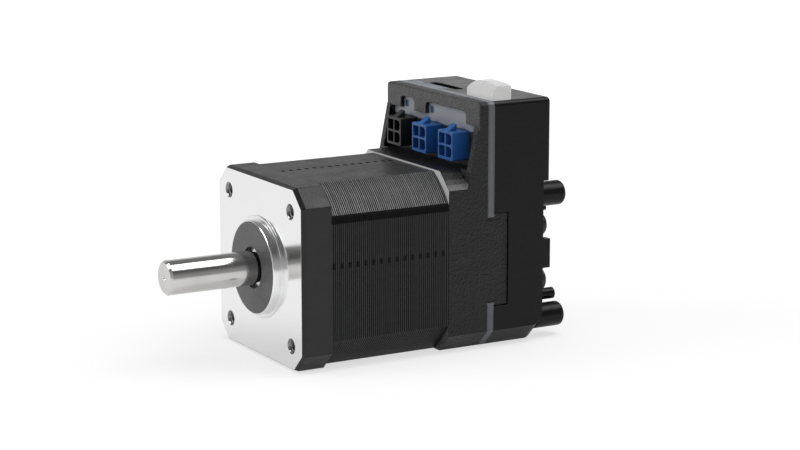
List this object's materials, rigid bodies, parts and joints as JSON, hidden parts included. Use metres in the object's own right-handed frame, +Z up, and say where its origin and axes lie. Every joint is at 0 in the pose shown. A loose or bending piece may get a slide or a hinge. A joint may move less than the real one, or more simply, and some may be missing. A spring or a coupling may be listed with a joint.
{
  "type": "integrated servo motor",
  "caption": "Square-frame servo motor with its drive built on the back: round output shaft, laminated stack, lit band, plug headers and a push button on the drive casing",
  "frame": {"origin": "centre of the front mounting face, on the shaft axis", "axes": "-Y along the output shaft, away from the motor; +Z up, on the side of the button; +X to the right seen from the shaft end"},
  "size_m": [0.0424, 0.096, 0.0622],
  "materials": {
    "black_paint": "fine-textured black paint, front faces machined bare",
    "machined_aluminium": "turned",
    "lamination_steel": "stamped sheets with dark edges",
    "black_plastic": "fine satin grain",
    "milky_plastic": "translucent white, smooth",
    "button_plastic": "translucent white, polished",
    "ground_steel": "ground",
    "bearing_steel": "polished",
    "shield_steel": "satin",
    "copper_wire": "enamelled winding",
    "white_nylon": "moulded",
    "nickel_magnet": "nickel plated",
    "brass_turned": "turned",
    "zinc_steel": "zinc plated",
    "black_screw": "black oxide",
    "board_laminate": "dark green solder mask",
    "black_header": "moulded",
    "blue_header": "moulded",
    "gold_pins": "gold plated",
    "chip_epoxy": "moulded epoxy",
    "can_aluminium": "satin can",
    "ferrite": "fired",
    "lamp_lens": "clear",
    "socket_steel": "stamped"
  },
  "bodies": {
    "housing": {"front_bell": "black_paint", "stator_core": "lamination_steel", "front_bearing_outer_ring": "bearing_steel", "front_bearing_balls": "bearing_steel", "front_bearing_shields": "shield_steel", "rear_bearing_outer_ring": "bearing_steel", "rear_bearing_balls": "bearing_steel", "rear_bearing_shields": "shield_steel", "wave_washer": "ground_steel", "front_insulator": "white_nylon", "rear_insulator": "white_nylon", "stator_coils": "copper_wire", "phase_pins": "gold_pins", "rear_housing": "black_paint", "tie_bolts": "zinc_steel", "light_guide": "milky_plastic", "control_board": "board_laminate", "board_screws": "zinc_steel", "power_header": "black_header", "power_header_pins": "gold_pins", "bus_in_header": "blue_header", "bus_in_header_pins": "gold_pins", "bus_out_header": "blue_header", "bus_out_header_pins": "gold_pins", "encoder_chip": "chip_epoxy", "processor_chip": "chip_epoxy", "power_transistors": "chip_epoxy", "filter_capacitors": "can_aluminium", "power_inductor": "ferrite", "status_leds": "lamp_lens", "card_socket": "socket_steel", "button_switch": "chip_epoxy", "rear_cover": "black_plastic", "cover_screws": "black_screw"},
    "rotor": {"rotor_shaft": "ground_steel", "rotor_core_front": "lamination_steel", "rotor_magnet": "nickel_magnet", "rotor_core_rear": "lamination_steel", "rotor_spacer": "brass_turned", "front_bearing_inner_ring": "bearing_steel", "rear_bearing_inner_ring": "bearing_steel", "magnet_holder": "machined_aluminium", "encoder_magnet": "nickel_magnet"},
    "button": {"lit_button": "button_plastic", "switch_plunger": "white_nylon"}
  },
  "joints": [
    {"name": "shaft_spin", "type": "hinge", "parent": "housing", "child": "rotor", "pos_m": [0, 0, 0], "axis": [0, -1, 0], "continuous": true},
    {"name": "button_press", "type": "slide", "parent": "housing", "child": "button", "axis": [0, 0, -1], "range_m": [0, 0.0006], "stiffness_N_per_m": 2500}
  ]
}
